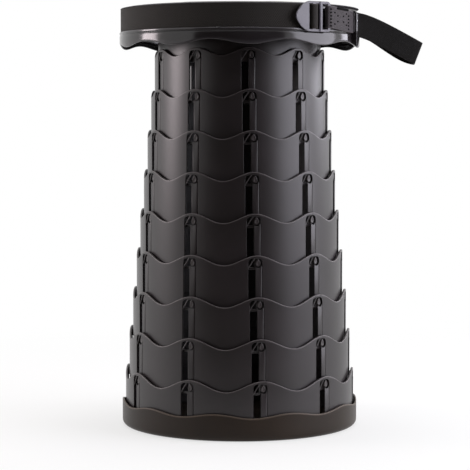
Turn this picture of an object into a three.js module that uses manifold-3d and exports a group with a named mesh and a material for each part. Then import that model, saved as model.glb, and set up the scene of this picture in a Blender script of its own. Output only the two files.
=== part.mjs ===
// Collapsible telescopic stool: ten nested rings between a base tray and a round seat.
// Millimetres, +Z up. The origin is the middle of the sole, on the floor, and the front faces -Y.
// An azimuth is counted from the front (-Y) towards +X, as seen from above anticlockwise.

import * as THREE from 'three';
import { mergeVertices } from 'three/addons/utils/BufferGeometryUtils.js';
import Module from 'manifold-3d';

const wasm = await Module();
wasm.setup();

// Counts and angles
const slidingStages = 9; // eight rings and the seat's neck ring slide
const waveCount = 10; // waves on each edge, and slots and lugs on each ring
const facets = 60; // flats round each turned piece
const curveSteps = 2; // flats in a rounded edge
const holeSides = 20;
const screwSides = 10;
const strapSteps = 50; // flats of the webbing round the rim
const anchorSteps = 4;
const loopSteps = 48;
const slotPitch = (2 * Math.PI) / waveCount;
const degrees = (value) => THREE.MathUtils.degToRad(value);
const baseSlotAzimuth = degrees(8.2); // the fixed ring's front slot
const slotDrift = degrees(0.62); // each ring further up is turned back by this
const crestFromSlot = degrees(3.2); // a crest stands over the middle of its window
const skirtLobeAzimuth = degrees(4.7);
const trayTroughAzimuth = degrees(6.6);
const buckleAzimuth = degrees(35);
const handleAzimuth = degrees(97); // the carry loop's round end
const keeperAzimuths = [degrees(66), degrees(110)]; // front and rear

// Shared clearances and the overrun of every cut
const fit = 0.3;
const runningFit = 0.4;
const overrun = 2;

// Rings
const ringHeight = 57.6; // lower edge to crest
const ringWall = 2.3;
const ringStep = 4.03; // each ring further up is smaller by this on the radius
const fixedRingRadius = 123.7; // outside of the largest ring
const stageTravel = 42.8;
const waveShare = 0.091; // wave height over the ring's radius

// Slot, window and locking lug
const channelWidth = 5.6;
const channelFoot = 2.6; // closed hoop under each channel
const windowDrop = 3; // crest down to the window's top edge
const windowHeight = 9.2;
const pocketWidth = 8.6; // window beyond the channel's right edge
const windowCorner = 4.2;
const lugWidth = 4.8;
const lugEntry = 1.4; // how far a lug reaches into the next ring's wall
const tongueWidth = 7.6; // springy tongue under each pocket
const tongueRise = 0.5; // it stands this proud, so that the lug passes behind it
const tongueThickness = 1.05;
const rootDepth = 0.35; // how deep a lug is rooted in the wall
const windowSteps = 2; // flats in the window's rounded corner
const lugFootShare = 0.6;
const lugShoulderShare = 0.42;

// Base tray
const floorThickness = 3.9;
const trayGap = 1.7; // fixed ring to tray wall
const trayWall = 2;
const trayHeight = 28.5; // up to a crest
const trayWave = 4.2;
const trayEdge = 5.5; // rounding of the lower edge
const beadHeight = 1.4; // snap bead over the fixed ring's lugs
const beadReach = 0.9;
const fixedLugReach = 1.25;
const padCount = 5;
const padRadius = 11;
const padSetback = 27.4; // tray's outside to the middle of a pad
const padDepth = 1.2;

// Seat
const discThickness = 2.6;
const discEdge = 2.3; // rounding of the seat's edge
const lipSetback = 1.1; // the disc's edge stands back from the skirt
const seatRest = 0.4; // disc over the neck ring, and over all crests when collapsed
const skirtWall = 1.5;
const skirtDepth = 41.6; // seat underside down to the lobes
const skirtWave = 5.2;
const rimGap = 1.3; // fixed ring to the rim wall when collapsed
const rimWall = 1.3;
const shoulder = 1.6; // ledge between rim wall and skirt
const gripMargin = 11.13; // neck flange to the edge of the grip plate's recess
const gripThickness = 3;
const gripSetDown = 0.3;
const ledgeWidth = 8;
const ledgeThickness = 2.4;
const holeRadius = 13.5;
const collarWall = 2;
const collarMargin = 11; // collar to the ledge under the grip plate
const collarDepth = 8;

// Neck flange and its screws
const flangeDrop = 8.8; // seat underside down to the flange
const flangeThickness = 2.4;
const flangeWidth = 10;
const screwCount = 5;
const bossRadius = 3.6;
const screwRadius = 1.5;
const screwHoleRadius = 1.9;
const screwHeadRadius = 3.4;
const screwHeadHeight = 2.2;
const screwLength = 9;

// Webbing, its keepers and the buckle
const strapWidth = 25;
const strapThickness = 1.4;
const keeperThickness = 3;
const keeperReach = 7.2; // beyond the skirt
const keeperSlot = 7.2; // rim wall to the keeper's post
const keeperLift = 3.6; // in the front keeper the webbing stands this far out of its circle
const keeperNib = 1;
const keeperNibHeight = 2;
const keeperPoint = 5; // the lower outer corner hangs this far
const keeperTop = 0.8;
const keeperFoot = 11.5; // shoulder down to the keeper's inner corner
const handleReach = 66.5; // loop's end beyond the skirt
const handleDroop = 33;
const handleEndRadius = 12;
const handleLean = degrees(50); // the front strand meets the round end at this angle to the rim
const handleRootHalf = 22; // the rear strand's distance from the middle, near the rim
const handleBend = 4.5;
const droopShare = 0.85; // part of the smooth fall that the rear strand's length takes
const leaveShares = [0.8, 0.6]; // of the bend, where the rear strand turns out of the circle
const strandShares = [0.4, 2]; // of the bend, where it then runs straight
const frontRun = 3; // straight and level run beyond the front keeper
const frontEase = 4; // the front strand bends down over about this length
const frontSag = 3; // it hangs this much lower soon after its keeper
const buckleStandoff = 2.95; // strap's face to the buckle's back
const buckleThickness = 2.2;
const buckleHeight = 31;
const buckleRail = 2.6;
const buckleTab = 16.5;
const buckleSlot = 4;
const buckleBar = 4.5;
const anchorSlot = 6.5;
const anchorBar = 4;
const anchorEndGap = 4.5; // sewn end to the middle of the front keeper
const wrapClearance = 0.65;
const anchorMeet = 9; // the sewn end meets the strap this far past the buckle's end bar
const anchorLap = 1.6; // middle of the strap to the middle of the sewn end on it

// Sizes that follow
const lugFoot = channelFoot + runningFit;
const pocketFloor = ringHeight - windowDrop - windowHeight;
const lugHeight = windowHeight - 2 * runningFit;
const pocketMiddle = (channelWidth + pocketWidth) / 2;
const ringRadius = (level) => fixedRingRadius - ringStep * level;
const ringFoot = (level) => floorThickness + fit + stageTravel * level;
const slotAzimuth = (level) => baseSlotAzimuth - slotDrift * level;
const pocketAzimuth = (level) => Math.atan(pocketMiddle / ringRadius(level));
const lugReach = ringStep - ringWall + lugEntry;
const trayInside = fixedRingRadius + trayGap;
const trayOutside = trayInside + trayWall;
const skirtInside = trayOutside + runningFit;
const skirtOutside = skirtInside + skirtWall;
const rimInside = fixedRingRadius + rimGap;
const rimOutside = rimInside + rimWall;
const neckFoot = ringFoot(slidingStages);
const neckTop = neckFoot + ringHeight;
const seatUnderside = neckTop + seatRest;
const shoulderTop = seatUnderside - strapWidth - 2 * runningFit;
const strapFoot = shoulderTop + runningFit;
const strapMiddle = strapFoot + strapWidth / 2;
const strapInside = rimOutside + fit;
const strapRadius = strapInside + strapThickness / 2;
const neckOutside = ringRadius(slidingStages);
const neckInside = neckOutside - ringWall;
const gripRadius = neckInside - flangeWidth - gripMargin;
const holeOffset = gripRadius - ledgeWidth - collarMargin - collarWall - holeRadius;
const padCircle = trayOutside - padSetback;
const liftAngle = Math.acos(strapRadius / (strapRadius + keeperLift));
const liftRun = strapRadius * Math.tan(liftAngle); // straight from the rim to a keeper's middle
const liftAzimuth = keeperAzimuths[0] - liftAngle;
const flangeTop = seatUnderside - flangeDrop;
const screwCircle = neckInside - flangeWidth / 2;
const bossHole = screwLength - flangeThickness + fit;
const handleExit = liftRun + keeperThickness / 2 + fit; // the loop begins here, past the keeper

function material(color, roughness, metalness) {
  return new THREE.MeshStandardMaterial({ color, roughness, metalness });
}

const looks = {
  ring: () => material('#35302f', 0.42, 0),
  tray: () => material('#3a312a', 0.45, 0),
  pad: () => material('#1c1c1d', 0.9, 0),
  disc: () => material('#37353a', 0.62, 0),
  skirt: () => material('#1b191c', 0.12, 0),
  grip: () => material('#2f2d30', 0.8, 0),
  screw: () => material('#8d8d90', 0.35, 1),
  webbing: () => material('#26231f', 0.85, 0),
  buckle: () => material('#4a474d', 0.35, 0),
};

// A closed geometry becomes a solid once its shared corners are merged.
function solid(geometry) {
  geometry.deleteAttribute('normal');
  geometry.deleteAttribute('uv');
  const merged = mergeVertices(geometry);
  return new wasm.Manifold(new wasm.Mesh({
    numProp: 3,
    vertProperties: merged.attributes.position.array,
    triVerts: Uint32Array.from(merged.index.array),
  }));
}

function geometryOf(manifold) {
  const mesh = manifold.getMesh();
  const geometry = new THREE.BufferGeometry();
  geometry.setAttribute('position', new THREE.BufferAttribute(Float32Array.from(mesh.vertProperties), 3));
  geometry.setIndex(new THREE.BufferAttribute(Uint32Array.from(mesh.triVerts), 1));
  geometry.computeVertexNormals();
  return geometry;
}

const joined = (pieces) => pieces.reduce((whole, piece) => whole.add(piece));

function piece(name, geometry, look, parent) {
  const mesh = new THREE.Mesh(geometry, look);
  mesh.name = name;
  parent.add(mesh);
  return mesh;
}

// A closed profile of [radius, height] pairs is turned about +Z, azimuth 0 first.
function turned(profile, sides) {
  const closed = profile[0][0] === 0 ? profile : [...profile, profile[0]];
  const geometry = new THREE.LatheGeometry(closed.map(([r, z]) => new THREE.Vector2(r, z)), sides);
  return geometry.rotateX(Math.PI / 2);
}

// An arc of a profile from one angle to another, ends included.
function arcPoints(radius, middle, height, from, to, steps) {
  return Array.from({ length: steps + 1 }, (_, i) => {
    const angle = from + ((to - from) * i) / steps;
    return [middle + radius * Math.cos(angle), height + radius * Math.sin(angle)];
  });
}

// The edge at one height becomes a wave of ten periods, with its highest point at crestAzimuth.
function waveEdge(geometry, height, waveHeight, crestAzimuth) {
  const places = geometry.attributes.position;
  for (let i = 0; i < places.count; i += 1) {
    if (Math.abs(places.getZ(i) - height) < waveHeight / facets) {
      const azimuth = Math.atan2(places.getX(i), -places.getY(i));
      const fall = (1 - Math.cos(waveCount * (azimuth - crestAzimuth))) / 2;
      places.setZ(i, height - waveHeight * fall);
    }
  }
  return geometry;
}

const up = new THREE.Vector3(0, 0, 1);
const alongAt = (azimuth) => new THREE.Vector3(Math.cos(azimuth), Math.sin(azimuth), 0);
const outwardsAt = (azimuth) => new THREE.Vector3(Math.sin(azimuth), -Math.cos(azimuth), 0);

// A flat shape drawn as (along the wall, up) is extruded outwards at an azimuth.
function standing(shape, azimuth, from, to) {
  const geometry = new THREE.ExtrudeGeometry(shape, {
    depth: to - from,
    bevelEnabled: false,
  });
  geometry.translate(0, 0, from);
  return geometry.applyMatrix4(new THREE.Matrix4().makeBasis(alongAt(azimuth), up, outwardsAt(azimuth)));
}

const shapeOf = (points) => new THREE.Shape(points.map(([x, y]) => new THREE.Vector2(x, y)));

function rectangle(left, foot, right, top) {
  return shapeOf([[left, foot], [right, foot], [right, top], [left, top]]);
}

function cylinder(radius, foot, top, steps) {
  const geometry = new THREE.CylinderGeometry(radius, radius, top - foot, steps);
  geometry.rotateX(Math.PI / 2);
  return geometry.translate(0, 0, (top + foot) / 2);
}

const repeated = (make) => joined(Array.from({ length: waveCount }, (_, i) => solid(make(slotPitch * i))));

// The opening for a lug: a channel up the wall, wider at the right to hold the tongue and the pocket.
function openingShape() {
  const left = -channelWidth / 2;
  const right = channelWidth / 2 + pocketWidth;
  const top = ringHeight - windowDrop;
  return shapeOf([
    [left, channelFoot],
    [right, channelFoot],
    [right, top],
    ...arcPoints(windowCorner, left + windowCorner, top - windowCorner, Math.PI / 2, Math.PI, windowSteps),
  ]);
}

// The lug: narrow at its foot, widest at its shoulder and pointed above.
function lugShape() {
  const half = lugWidth / 2;
  const shoulderHeight = lugFoot + lugHeight * lugShoulderShare;
  return shapeOf([
    [-half * lugFootShare, lugFoot],
    [half * lugFootShare, lugFoot],
    [half, shoulderHeight],
    [0, lugFoot + lugHeight],
    [-half, shoulderHeight],
  ]);
}

// A ring's own azimuth 0 is a crest. Its lugs stand in the pockets of the ring below.
function lugs(level, reach) {
  const azimuth = slotDrift - crestFromSlot + pocketAzimuth(level - 1);
  const outside = ringRadius(level);
  return repeated((turn) => standing(lugShape(), turn + azimuth, outside - rootDepth, outside + reach));
}

function slottedRing(level, reach) {
  const outside = ringRadius(level);
  const inside = outside - ringWall;
  const wall = turned([[inside, 0], [outside, 0], [outside, ringHeight], [inside, ringHeight]], facets);
  waveEdge(wall, ringHeight, outside * waveShare, 0);
  const face = outside + tongueRise;
  const tongue = rectangle(-tongueWidth / 2, 0, tongueWidth / 2, pocketFloor);
  const tongueAzimuth = pocketAzimuth(level) - crestFromSlot;
  const tongues = repeated((turn) => standing(tongue, turn + tongueAzimuth, face - tongueThickness, face));
  const openings = repeated(
    (turn) => standing(openingShape(), turn - crestFromSlot, inside - overrun, outside + overrun),
  );
  return solid(wall).subtract(openings).add(tongues).add(lugs(level, reach));
}

function neckRing() {
  const foot = flangeTop - flangeThickness - neckFoot;
  const top = flangeTop - neckFoot;
  const tube = turned([
    [neckInside, 0],
    [neckOutside, 0],
    [neckOutside, ringHeight],
    [neckInside, ringHeight],
    [neckInside, top],
    [neckInside - flangeWidth, top],
    [neckInside - flangeWidth, foot],
    [neckInside, foot],
  ], facets);
  const holes = joined(screwPlaces(0).map(({ x, y }) => solid(
    cylinder(screwHoleRadius, foot - overrun, top + overrun, screwSides).translate(x, y, 0),
  )));
  return solid(tube).subtract(holes).add(lugs(slidingStages, lugReach));
}

function onCircle(radius, azimuth) {
  return new THREE.Vector2(radius * Math.sin(azimuth), -radius * Math.cos(azimuth));
}

// Places evenly spread on a circle in plan, turned by an angle.
function spread(count, radius, turn) {
  return Array.from({ length: count }, (_, i) => onCircle(radius, turn + (2 * Math.PI * i) / count));
}

const screwPlaces = (turn) => spread(screwCount, screwCircle, turn + Math.PI / screwCount);

// Floor, rounded lower edge, wavy wall and the bead that holds the fixed ring down.
function baseTray() {
  const beadFoot = ringFoot(0) + lugFoot + lugHeight + fit;
  const body = turned([
    [0, 0],
    ...arcPoints(trayEdge, trayOutside - trayEdge, trayEdge, -Math.PI / 2, 0, curveSteps),
    [trayOutside, trayHeight],
    [trayInside, trayHeight],
    [trayInside, beadFoot + beadHeight],
    [trayInside - beadReach, beadFoot + beadHeight / 2],
    [trayInside, beadFoot],
    [trayInside, floorThickness],
    [0, floorThickness],
  ], facets);
  waveEdge(body, trayHeight, trayWave, slotPitch / 2);
  const recesses = joined(spread(padCount, padCircle, -trayTroughAzimuth).map(({ x, y }) => solid(
    cylinder(padRadius, -overrun, padDepth, holeSides).translate(x, y, 0),
  )));
  return solid(body).subtract(recesses);
}

// The top disc with its rounded edge, a ledge for the grip plate, and the screw bosses.
function seatDisc() {
  const edge = skirtOutside - lipSetback;
  const top = discThickness;
  const ledgeTop = top - gripSetDown - gripThickness - fit;
  const body = turned([
    [gripRadius + ledgeThickness, 0],
    ...arcPoints(discEdge, edge - discEdge, top - discEdge, 0, Math.PI / 2, curveSteps),
    [gripRadius, top],
    [gripRadius, ledgeTop],
    [gripRadius - ledgeWidth, ledgeTop],
    [gripRadius - ledgeWidth, ledgeTop - ledgeThickness],
    [gripRadius + ledgeThickness, ledgeTop - ledgeThickness],
  ], facets);
  const bosses = joined(screwPlaces(0).map(({ x, y }) => {
    const post = solid(cylinder(bossRadius, fit - flangeDrop, rootDepth, screwSides));
    const bore = solid(cylinder(screwHoleRadius, -flangeDrop - overrun, bossHole - flangeDrop, screwSides));
    return post.subtract(bore).translate([x, y, 0]);
  }));
  return solid(body).add(bosses);
}

// The centre plate with two finger holes, each with a collar below.
function gripPlate() {
  const plate = solid(cylinder(gripRadius - fit, 0, gripThickness, facets));
  const places = [-holeOffset, holeOffset];
  const collars = joined(places.map((x) => solid(
    cylinder(holeRadius + collarWall, -collarDepth, gripThickness / 2, holeSides).translate(x, 0, 0),
  )));
  const holes = joined(places.map((x) => solid(
    cylinder(holeRadius, -collarDepth - overrun, gripThickness + overrun, holeSides).translate(x, 0, 0),
  )));
  return plate.add(collars).subtract(holes);
}

// A keeper for the webbing: a fin that stands out from the skirt, with a nib halfway up its post.
function keeperShape() {
  const post = rimOutside + keeperSlot;
  const outside = skirtOutside + keeperReach;
  const root = skirtOutside - skirtWall / 2;
  const top = seatUnderside + keeperTop;
  const lip = skirtOutside - lipSetback + runningFit;
  return shapeOf([
    [root, shoulderTop - keeperFoot],
    [outside, shoulderTop - keeperFoot - keeperPoint],
    [outside, top - keeperReach / 2],
    [outside - keeperReach / 2, top],
    [lip, top],
    [lip, seatUnderside - runningFit],
    [post, seatUnderside - runningFit],
    [post, strapMiddle + keeperNibHeight],
    [post - keeperNib, strapMiddle + keeperNibHeight / 2],
    [post - keeperNib, strapMiddle - keeperNibHeight / 2],
    [post, strapMiddle - keeperNibHeight],
    [post, shoulderTop],
    [root, shoulderTop],
  ]);
}

// The shape is drawn as (outwards, up) and has its thickness along the wall.
function keeper(azimuth) {
  const geometry = new THREE.ExtrudeGeometry(keeperShape(), { depth: keeperThickness, bevelEnabled: false });
  geometry.translate(0, -seatUnderside, -keeperThickness / 2);
  const back = alongAt(azimuth).negate();
  return geometry.applyMatrix4(new THREE.Matrix4().makeBasis(outwardsAt(azimuth), up, back));
}

// The glossy rim: a wall behind the webbing, a shoulder under it and the wavy skirt.
function seatSkirt() {
  const lobe = -skirtDepth;
  const top = lobe + skirtWave;
  const shelf = shoulderTop - seatUnderside;
  const body = turned([
    [skirtInside, top],
    [skirtOutside, top],
    [skirtOutside, shelf],
    [rimOutside, shelf],
    [rimOutside, -fit],
    [rimInside, -fit],
    [rimInside, shelf - shoulder],
    [skirtInside, shelf - shoulder],
  ], facets);
  waveEdge(body, top, skirtWave, slotPitch / 2);
  return keeperAzimuths.reduce(
    (whole, azimuth) => whole.add(solid(keeper(azimuth - skirtLobeAzimuth))),
    solid(body),
  );
}

// A place in plan, given in the straight frame of the piece at an azimuth.
function inFrame(azimuth, along, outwards) {
  return new THREE.Vector2(
    outwards * Math.sin(azimuth) + along * Math.cos(azimuth),
    -outwards * Math.cos(azimuth) + along * Math.sin(azimuth),
  );
}

function arcPath(radius, from, to, steps) {
  return Array.from({ length: steps + 1 }, (_, i) => onCircle(radius, from + ((to - from) * i) / steps));
}

// A band of the webbing's thickness along a path in plan, as tall as the webbing is wide.
function band(path, thickness, height) {
  const side = (sign) => path.map((point, i) => {
    const before = path[Math.max(i - 1, 0)];
    const after = path[Math.min(i + 1, path.length - 1)];
    const into = point.clone().sub(before).normalize();
    const out = after.clone().sub(point).normalize();
    const run = into.clone().add(out).normalize();
    const stretch = Math.max(run.dot(i > 0 ? into : out), Math.SQRT1_2);
    const normal = new THREE.Vector2(-run.y, run.x).multiplyScalar((sign * thickness) / 2 / stretch);
    return point.clone().add(normal);
  });
  const outline = [...side(-1), ...side(1).reverse()];
  const geometry = new THREE.ExtrudeGeometry(new THREE.Shape(outline), { depth: height, bevelEnabled: false });
  return geometry.translate(0, 0, -height / 2);
}

// Distances in the buckle: its back and front, and the edges of its bars along the webbing.
const buckleBack = strapInside + strapThickness + buckleStandoff;
const buckleFront = buckleBack + buckleThickness;
const wrapEdges = [-buckleBar / 2, buckleBar / 2];
const lockEdges = [wrapEdges[1] + buckleSlot, wrapEdges[1] + buckleSlot + buckleBar];
const anchorEdges = [lockEdges[1] + anchorSlot, lockEdges[1] + anchorSlot + anchorBar];
const wrapOffset = strapThickness / 2 + wrapClearance;

// From the rear keeper round the back, left and front, then up through the buckle and over its bar.
function rimStrap() {
  const start = keeperAzimuths[1] - keeperThickness / 2 / strapRadius;
  const leave = buckleAzimuth + 2 * Math.PI + Math.asin((wrapEdges[0] - buckleTab) / strapRadius);
  const [left, right] = wrapEdges;
  const local = [
    [left - buckleSlot, strapRadius + strapThickness],
    [left - wrapOffset, buckleBack],
    [left - wrapOffset, buckleFront],
    [left, buckleFront + wrapOffset],
    [right, buckleFront + wrapOffset],
    [right + wrapOffset, buckleFront],
    [right + wrapOffset, buckleBack],
    [lockEdges[0], strapRadius + strapThickness],
    [lockEdges[1], strapRadius + strapThickness / 2],
  ];
  const path = [
    ...arcPath(strapRadius, start, leave, strapSteps),
    ...local.map(([along, outwards]) => inFrame(buckleAzimuth, along, outwards)),
  ];
  return solid(band(path, strapThickness, strapWidth));
}

// The sewn end: from the front keeper to the buckle's end bar, round it and back on itself.
function strapAnchor() {
  const [left, right] = anchorEdges;
  const meet = buckleAzimuth + Math.asin((right + anchorMeet) / strapRadius);
  const under = [
    [right, buckleBack - wrapOffset - strapThickness],
    [left, buckleBack - wrapOffset],
    [left - wrapOffset, buckleBack],
    [left - wrapOffset, buckleFront],
    [left, buckleFront + wrapOffset],
    [right, buckleFront + wrapOffset],
    [right + wrapOffset, buckleFront],
  ];
  const path = [
    inFrame(liftAzimuth, liftRun + keeperThickness / 2, strapRadius),
    ...arcPath(strapRadius, liftAzimuth, meet, anchorSteps),
    ...under.map(([along, outwards]) => inFrame(buckleAzimuth, along, outwards)),
    ...arcPath(strapRadius + anchorLap, meet, liftAzimuth, anchorSteps),
    inFrame(liftAzimuth, liftRun - anchorEndGap, strapRadius + anchorLap),
  ];
  return solid(band(path, strapThickness, strapWidth));
}

// The straight run from the rim through the front keeper, seen along the handle's own azimuth.
function frontStrand(run) {
  const { x, y } = inFrame(liftAzimuth - handleAzimuth, run, strapRadius);
  return [x, -y];
}

// The loop in plan, seen along the handle's own azimuth: straight out of the front keeper, round
// the end, and back along the other strand to the rear keeper.
function handlePath() {
  const rootAzimuth = keeperAzimuths[1] - (keeperThickness / 2 + fit) / strapRadius;
  const spread = Math.asin((handleRootHalf + handleBend) / strapRadius);
  const leave = [strapRadius * Math.sin(spread), strapRadius * Math.cos(spread)];
  const end = skirtOutside + handleReach - handleEndRadius;
  const bend = frontStrand(handleExit + frontRun);
  const tip = arcPoints(handleEndRadius, 0, end, Math.PI / 2 + handleLean, 0, 2 * (curveSteps + 1));
  const loop = [
    bend,
    [(bend[0] + tip[0][0]) / 2, (bend[1] + tip[0][1]) / 2],
    ...tip,
    [(handleRootHalf + handleEndRadius) / 2, (leave[1] + end) / 2],
    [handleRootHalf - handleBend * strandShares[0], leave[1] + handleBend * strandShares[1]],
    [leave[0] - handleBend * leaveShares[0], leave[1] + handleBend * leaveShares[1]],
  ].map(([along, out]) => new THREE.Vector2(along, out));
  const curve = new THREE.SplineCurve(loop).getPoints(loopSteps);
  const root = new THREE.Vector2(
    strapRadius * Math.sin(rootAzimuth - handleAzimuth),
    strapRadius * Math.cos(rootAzimuth - handleAzimuth),
  );
  return [new THREE.Vector2(...frontStrand(handleExit)), ...curve, root];
}

const smooth = (share) => share * share * (3 - 2 * share);

// How far the rear strand has fallen at a distance from the axis, and how steeply it falls there.
function rearDroop(distance) {
  const share = THREE.MathUtils.clamp((distance - skirtOutside) / handleReach, 0, 1) * droopShare;
  const slope = (handleDroop * 6 * share * (1 - share) * droopShare) / (smooth(droopShare) * handleReach);
  return { fall: (handleDroop * smooth(share)) / smooth(droopShare), slope };
}

// The front strand leaves the rim sooner, sags at once and then falls evenly.
function frontDroop(distance) {
  const [, root] = frontStrand(handleExit + frontRun);
  const slope = (handleDroop - frontSag) / (skirtOutside + handleReach - root - frontEase);
  const run = Math.max(distance - root, 0);
  const bent = 1 - Math.exp(-run / frontEase);
  return { fall: slope * (run - frontEase * bent) + frontSag * bent, slope: slope * bent };
}

// Round the end of the loop one strand's fall passes into the other's.
function droopAt(along, distance) {
  const share = smooth(THREE.MathUtils.clamp((along / handleEndRadius + 1) / 2, 0, 1));
  const [front, rear] = [frontDroop(distance), rearDroop(distance)];
  return {
    fall: front.fall * (1 - share) + rear.fall * share,
    angle: Math.atan(front.slope * (1 - share) + rear.slope * share),
  };
}

// The flat loop is bent down: each place keeps its height across the webbing, square to the fall.
function handleLoop() {
  const path = handlePath().map((point) => new THREE.Vector2(point.x, -point.y));
  const geometry = band(path, strapThickness, strapWidth);
  const places = geometry.attributes.position;
  for (let i = 0; i < places.count; i += 1) {
    const along = places.getX(i);
    const outwards = -places.getY(i);
    const across = places.getZ(i);
    const { fall, angle } = droopAt(along, outwards);
    const place = inFrame(handleAzimuth, along, outwards + across * Math.sin(angle));
    places.setXYZ(i, place.x, place.y, across * Math.cos(angle) - fall);
  }
  return solid(geometry);
}

// A ladder buckle: a rounded tab, rails above and below, and three bars across.
function buckleFrame() {
  const half = buckleHeight / 2;
  const rail = half - buckleRail;
  const tabEdge = wrapEdges[0] - buckleSlot;
  const tab = Array.from({ length: holeSides / 2 + 1 }, (_, i) => {
    const angle = Math.PI / 2 + (Math.PI * i) / (holeSides / 2);
    return [tabEdge + buckleTab * Math.cos(angle), half * Math.sin(angle)];
  });
  const shape = shapeOf([[anchorEdges[1], -half], [anchorEdges[1], half], ...tab]);
  const slots = [
    [tabEdge, wrapEdges[0]],
    [wrapEdges[1], lockEdges[0]],
    [lockEdges[1], anchorEdges[0]],
  ].map(([left, right]) => solid(
    standing(rectangle(left, -rail, right, rail), buckleAzimuth, buckleBack - overrun, buckleFront + overrun),
  ));
  return solid(standing(shape, buckleAzimuth, buckleBack, buckleFront)).subtract(joined(slots));
}

// Head below, shank upwards from the head's face.
function screw() {
  return solid(turned([
    [0, -screwHeadHeight],
    [screwHeadRadius, -screwHeadHeight],
    [screwHeadRadius, 0],
    [screwRadius, 0],
    [screwRadius, screwLength],
    [0, screwLength],
  ], screwSides));
}

const group = new THREE.Group();
group.name = 'telescopic_stool';

const tray = piece('base_tray', geometryOf(baseTray()), looks.tray(), group);
tray.rotation.z = trayTroughAzimuth;

spread(padCount, padCircle, 0).forEach(({ x, y }, i) => {
  const pad = piece(
    `foot_pad_${i + 1}`,
    geometryOf(solid(cylinder(padRadius - fit, 0, padDepth - fit, holeSides))),
    looks.pad(),
    group,
  );
  pad.position.set(x, y, 0);
});

const baseRing = piece('base_ring', geometryOf(slottedRing(0, fixedLugReach)), looks.ring(), group);
baseRing.position.z = ringFoot(0);
baseRing.rotation.z = slotAzimuth(0) + crestFromSlot;

for (let level = 1; level < slidingStages; level += 1) {
  const ring = piece(`ring_${level}`, geometryOf(slottedRing(level, lugReach)), looks.ring(), group);
  ring.position.z = ringFoot(level);
  ring.rotation.z = slotAzimuth(level) + crestFromSlot;
}

const seat = new THREE.Group();
seat.position.z = seatUnderside;
group.add(seat);

const neckTurn = slotAzimuth(slidingStages) + crestFromSlot;
const neck = piece('neck_ring', geometryOf(neckRing()), looks.ring(), seat);
neck.position.z = neckFoot - seatUnderside;
neck.rotation.z = neckTurn;

const disc = piece('seat_disc', geometryOf(seatDisc()), looks.disc(), seat);
disc.rotation.z = neckTurn;

const skirt = piece('seat_skirt', geometryOf(seatSkirt()), looks.skirt(), seat);
skirt.rotation.z = skirtLobeAzimuth;

const grip = piece('grip_plate', geometryOf(gripPlate()), looks.grip(), seat);
grip.position.z = discThickness - gripSetDown - gripThickness;
grip.rotation.z = handleAzimuth - Math.PI / 2;

screwPlaces(neckTurn).forEach(({ x, y }, i) => {
  const neckScrew = piece(`neck_screw_${i + 1}`, geometryOf(screw()), looks.screw(), seat);
  neckScrew.position.set(x, y, -flangeDrop - flangeThickness - fit);
});

const webbing = new THREE.Group();
webbing.position.z = strapMiddle - seatUnderside;
seat.add(webbing);
piece('rim_strap', geometryOf(rimStrap()), looks.webbing(), webbing);
piece('strap_anchor', geometryOf(strapAnchor()), looks.webbing(), webbing);
piece('handle_loop', geometryOf(handleLoop()), looks.webbing(), webbing);
piece('buckle', geometryOf(buckleFrame()), looks.buckle(), webbing);

export default group;
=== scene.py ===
# %% [markdown]
# # A collapsible telescopic stool
# Ten nested plastic rings slide out of a base tray and carry a round seat. This lesson
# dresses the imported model: every visible part is worked out again as a finer surface on the
# same sizes, and each finish is built from what the real material is.

# %% Load the fixed frame
from math import acos, asin, atan, atan2, cos, hypot, pi, radians, sin, tan

import bpy
import bmesh
import numpy as np
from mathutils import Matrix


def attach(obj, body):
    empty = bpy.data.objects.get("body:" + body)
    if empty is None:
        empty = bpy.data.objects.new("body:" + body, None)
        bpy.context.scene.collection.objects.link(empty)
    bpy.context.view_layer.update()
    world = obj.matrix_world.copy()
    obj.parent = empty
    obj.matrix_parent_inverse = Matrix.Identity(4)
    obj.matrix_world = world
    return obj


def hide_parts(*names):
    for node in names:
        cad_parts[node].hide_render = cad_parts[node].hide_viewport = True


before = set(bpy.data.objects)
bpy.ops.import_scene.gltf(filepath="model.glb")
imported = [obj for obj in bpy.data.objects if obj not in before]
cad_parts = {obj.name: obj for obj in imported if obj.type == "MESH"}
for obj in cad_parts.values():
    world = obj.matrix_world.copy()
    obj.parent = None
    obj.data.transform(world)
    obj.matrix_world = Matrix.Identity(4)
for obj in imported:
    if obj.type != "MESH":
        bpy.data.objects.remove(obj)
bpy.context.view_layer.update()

MM = 0.001  # the sizes below are millimetres, the scene is in metres


def new_object(name, data):
    """An object with this data, put into the scene."""
    made = bpy.data.objects.new(name, data)
    bpy.context.scene.collection.objects.link(made)
    return made


# %% [markdown]
# ## Camera
# The camera stands where the photograph's perspective puts it: a long lens, almost two metres
# away and a little below the seat, so that its top is hidden and the rings' edges curve down.
# It could be placed by eye. Here it comes from a fit to the rings' half widths and edge
# heights, which also gave the stool's sizes.

# %% Camera
IMAGE, SENSOR = 470, 36
FOCAL_PIXELS = 1779
AXIS_PIXEL = 239.5  # the stool's axis in the picture, a little right of the middle
DISTANCE, EYE_HEIGHT, PITCHED_DOWN = 1930, 327.3, 3.64

camera = bpy.data.cameras.new("photo_camera")
camera.sensor_width = SENSOR
camera.lens = FOCAL_PIXELS / IMAGE * SENSOR
viewer = new_object("photo_camera", camera)
viewer.location = (0, -DISTANCE * MM, EYE_HEIGHT * MM)
turn = atan((AXIS_PIXEL - IMAGE / 2) / FOCAL_PIXELS)
viewer.rotation_euler = (radians(90 - PITCHED_DOWN), 0, turn)
bpy.context.scene.camera = viewer
print("lens mm:", round(camera.lens, 1))

# %% [markdown]
# ## Helpers for materials
# A material is a small graph of nodes. One function adds a node with its settings and its
# inputs, which can be other nodes. Another turns the colours, written as they look on a
# screen, into the linear values that light is worked out with.

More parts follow.
